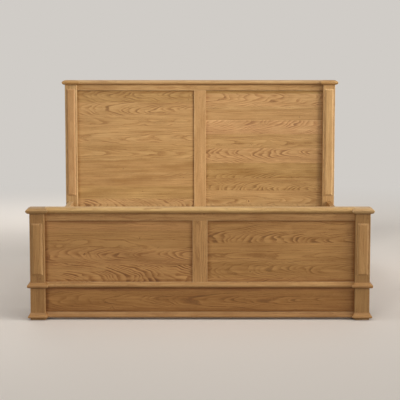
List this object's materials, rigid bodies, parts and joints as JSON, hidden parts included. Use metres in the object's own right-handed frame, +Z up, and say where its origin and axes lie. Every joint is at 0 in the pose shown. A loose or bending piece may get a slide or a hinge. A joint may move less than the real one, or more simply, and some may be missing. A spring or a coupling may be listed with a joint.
{
  "type": "panel bed",
  "caption": "Oak panel bed with a tall headboard, low footboard, square posts with raised strips, moulded caps, side rails and a slatted base for a super king mattress.",
  "frame": {"origin": "on the floor, at the centre of the bed's outline seen from above", "axes": "+X to the right seen from the foot, +Y from the footboard to the headboard, +Z up"},
  "size_m": [1.968, 2.23, 1.3],
  "materials": {
    "oak": "satin clear lacquer on honey-coloured solid oak",
    "pine": "planed and unfinished",
    "beech": "fluted dowel stock, unfinished",
    "zinc_steel": "bright zinc plate",
    "glide_nylon": "moulded"
  },
  "bodies": {
    "root": {"beam_hanger_foot": "zinc_steel", "beam_hanger_head": "zinc_steel", "centre_beam": "pine", "centre_leg_foot": "pine", "centre_leg_head": "pine", "floor_glides": "glide_nylon", "foot_apron": "oak", "foot_base_moulding": "oak", "foot_base_rail": "oak", "foot_cap_rail": "oak", "foot_muntin": "oak", "foot_panel_left": "oak", "foot_panel_right": "oak", "foot_post_cap_left": "oak", "foot_post_cap_right": "oak", "foot_post_left": "oak", "foot_post_mouldings_left": "oak", "foot_post_mouldings_right": "oak", "foot_post_right": "oak", "foot_post_strip_left": "oak", "foot_post_strip_right": "oak", "foot_top_rail": "oak", "foot_waist_moulding": "oak", "foot_waist_rail": "oak", "half_moon_washers": "zinc_steel", "head_bottom_rail": "oak", "head_cap_rail": "oak", "head_muntin": "oak", "head_panel_left": "oak", "head_panel_right": "oak", "head_post_cap_left": "oak", "head_post_cap_right": "oak", "head_post_left": "oak", "head_post_mouldings_left": "oak", "head_post_mouldings_right": "oak", "head_post_right": "oak", "head_post_strip_left": "oak", "head_post_strip_right": "oak", "head_top_rail": "oak", "joint_dowels": "beech", "joint_studs": "zinc_steel", "side_rail_left": "oak", "side_rail_right": "oak", "slat_01": "pine", "slat_02": "pine", "slat_03": "pine", "slat_04": "pine", "slat_05": "pine", "slat_06": "pine", "slat_07": "pine", "slat_08": "pine", "slat_09": "pine", "slat_10": "pine", "slat_11": "pine", "slat_12": "pine", "slat_cleat_left": "pine", "slat_cleat_right": "pine", "stud_inserts": "zinc_steel", "stud_nuts": "zinc_steel", "wood_screws": "zinc_steel"}
  },
  "joints": []
}
